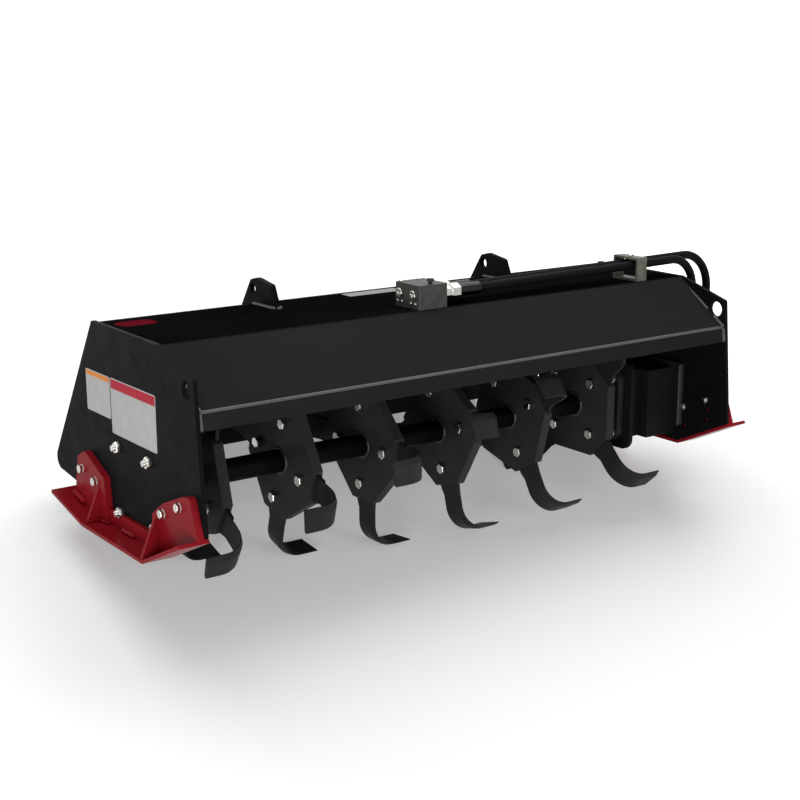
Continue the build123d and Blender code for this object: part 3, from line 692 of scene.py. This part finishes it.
def hose(node, bend):
    """Round hose in place of the many-sided solid: a run, one bend and a drop."""
    block_end = node.replace("hose", "block_fitting")
    motor_end = node.replace("hose", "motor_fitting")
    start = level_middle(block_end)
    start.x = level_box(block_end)[1].x + HOSE_GAP
    foot = Vector((level_middle(motor_end).x, start.y, level_box(motor_end)[1].z))
    rise = (CLAMP_HOSE_Z - start.z) / (CLAMP_LOW.x - start.x)
    corner = Vector((foot.x, start.y, start.z + rise * (foot.x - start.x)))
    run, fall = Vector((1, 0, rise)).normalized(), Vector((0, 0, -1))
    turn = math.radians(90) + math.atan(rise)
    cut = bend * math.tan(turn / 2)
    reach = 4 / 3 * math.tan(turn / 4) * bend
    # point, its direction, length of the handle behind it and of the one ahead
    rows = [(start, run, END_HANDLE, END_HANDLE), (corner - run * cut, run, END_HANDLE, reach),
            (corner + fall * cut, fall, reach, END_HANDLE), (foot, fall, END_HANDLE, END_HANDLE)]

    name = node + "_cover"
    cu = bpy.data.curves.new(name, "CURVE")
    cu.dimensions = "3D"
    cu.resolution_u = 16
    cu.bevel_depth = HOSE_R
    cu.bevel_resolution = 6
    cu.use_fill_caps = True
    sp = cu.splines.new("BEZIER")
    sp.bezier_points.add(len(rows) - 1)
    for b, (at, way, behind, ahead) in zip(sp.bezier_points, rows):
        b.handle_left_type = b.handle_right_type = "FREE"
        b.co, b.handle_left, b.handle_right = at, at - way * behind, at + way * ahead
    path = bpy.data.objects.new(name + "_path", cu)
    me = bpy.data.meshes.new_from_object(path)
    bpy.data.objects.remove(path)
    me.name = name
    me.shade_smooth()
    ob = place(name, me, MATS["hose_rubber"], "housing", "hose_rubber")
    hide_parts(node)


housing_bolts()
tine_bolts()
valve_plugs()
housing_welds()
deck_end_welds()
hood_end_welds()
rotor_welds()
skid_welds()
painted_highlight_strips()
for row in SIDE_LABELS:
    side_label(*row)
for row in DECK_LABELS:
    deck_label(*row)
for row in HOSE_BENDS:
    hose(*row)

# ================================================================ stage
FLOOR_SIZE, FLOOR_GREY = 40.0, 0.80      # metres, colour
# painted shade: the floor's glow is weaker by the object, darkening the floor round it
GLOW_NEAR, GLOW_FAR = 0.27, 1.0          # of the floor, by the object and away from it
GLOW_FROM, GLOW_TO = 1.0, 2.3            # metres from its middle
WORLD_LIGHT = 0.22
# name, place and target in level metres, size in metres, watts
LAMPS = [("key", (-3.2, -2.9, -0.55), (0, 0, 0), (2.2, 1.1), 80),
         ("front", (1.0, -4.2, 0.5), (0.2, 0, 0.1), (2.2, 1.4), 30),
         ("overhead", (0.2, 0.2, 3.6), (0, 0, 0), (6.0, 3.4), 165)]


def seen_rays(nt):
    """1 for what the camera, metal and glass see, 0 for what lights the object."""
    lp = nt.nodes.new("ShaderNodeLightPath")
    seen = math_node(nt, "MAXIMUM", lp.outputs["Is Camera Ray"], lp.outputs["Is Glossy Ray"])
    return math_node(nt, "MAXIMUM", seen, lp.outputs["Is Transmission Ray"])


def floor_material():
    """Pale matt floor with a white glow, seen but not lighting, that grows with distance; the
    weaker glow by the object is painted shade round it.
    """
    m, nt, bsdf = new_mat("floor_look")
    bsdf.inputs["Base Color"].default_value = (FLOOR_GREY, FLOOR_GREY, FLOOR_GREY, 1)
    bsdf.inputs["Roughness"].default_value = 0.9
    bsdf.inputs["Specular IOR Level"].default_value = 0.1
    away = vector_node(nt, "LENGTH", object_spot(nt))
    glow_with_painted_shade = map_range(nt, away, GLOW_FROM, GLOW_TO, GLOW_NEAR, GLOW_FAR, kind="SMOOTHSTEP")
    glow = nt.nodes.new("ShaderNodeEmission")
    glow.inputs["Color"].default_value = (1, 1, 1, 1)
    nt.links.new(math_node(nt, "MULTIPLY", seen_rays(nt), glow_with_painted_shade), glow.inputs["Strength"])
    add = nt.nodes.new("ShaderNodeAddShader")
    nt.links.new(bsdf.outputs["BSDF"], add.inputs[0])
    nt.links.new(glow.outputs["Emission"], add.inputs[1])
    nt.links.new(add.outputs["Shader"], nt.nodes["Material Output"].inputs["Surface"])
    return m


def make_floor():
    """Level ground in the parked frame."""
    bpy.ops.mesh.primitive_plane_add(size=FLOOR_SIZE, location=(0, 0, 0))
    floor = bpy.context.object
    floor.name = "floor"
    floor.data.materials.append(floor_material())


def make_world():
    """Soft light on the object, and white for what the camera, metal and glass see."""
    world = bpy.data.worlds.new("studio")
    bpy.context.scene.world = world
    world.use_nodes = True
    nt = world.node_tree
    light = nt.nodes["Background"]
    white = nt.nodes.new("ShaderNodeBackground")
    for background, strength in ((light, WORLD_LIGHT), (white, 1.0)):
        background.inputs["Color"].default_value = (1, 1, 1, 1)
        background.inputs["Strength"].default_value = strength
    choose = nt.nodes.new("ShaderNodeMixShader")
    nt.links.new(seen_rays(nt), choose.inputs["Fac"])
    nt.links.new(light.outputs["Background"], choose.inputs[1])
    nt.links.new(white.outputs["Background"], choose.inputs[2])
    nt.links.new(choose.outputs["Shader"], nt.nodes["World Output"].inputs["Surface"])


def area_lamp(name, at, target, size, watts):
    """Soft rectangular lamp that points at its target."""
    lamp = bpy.data.lights.new(name, "AREA")
    lamp.energy = watts
    lamp.shape = "RECTANGLE"
    lamp.size, lamp.size_y = size
    ob = bpy.data.objects.new(name, lamp)
    bpy.context.scene.collection.objects.link(ob)
    ob.location = PARK @ Vector(at)
    aim = PARK @ Vector(target) - PARK @ Vector(at)
    ob.rotation_euler = aim.to_track_quat("-Z", "Y").to_euler()


make_floor()
make_world()
for row in LAMPS:
    area_lamp(*row)

# ================================================================ camera
LENS, SENSOR = 64.33, 36.0               # mm
EYE = Vector((-2.043, -2.7275, 0.9176))  # level metres
YAW, PITCH, ROLL = (math.radians(a) for a in (35.91, 13.75, -0.12))


def make_camera():
    """Looks along yaw, from +y towards +x, and down by pitch, in the level machine frame."""
    cam_data = bpy.data.cameras.new("camera")
    cam_data.lens = LENS
    cam_data.sensor_width = SENSOR
    cam = bpy.data.objects.new("camera", cam_data)
    bpy.context.scene.collection.objects.link(cam)
    view = Vector((math.sin(YAW) * math.cos(PITCH), math.cos(YAW) * math.cos(PITCH),
                   -math.sin(PITCH)))
    right = view.cross(Vector((0, 0, 1))).normalized()
    up = right.cross(view)
    level = Matrix((right, up, -view)).transposed().to_4x4() @ Matrix.Rotation(ROLL, 4, "Z")
    level.translation = EYE
    cam.matrix_world = PARK @ level
    bpy.context.scene.camera = cam


make_camera()
bpy.context.scene.view_settings.view_transform = "Standard"
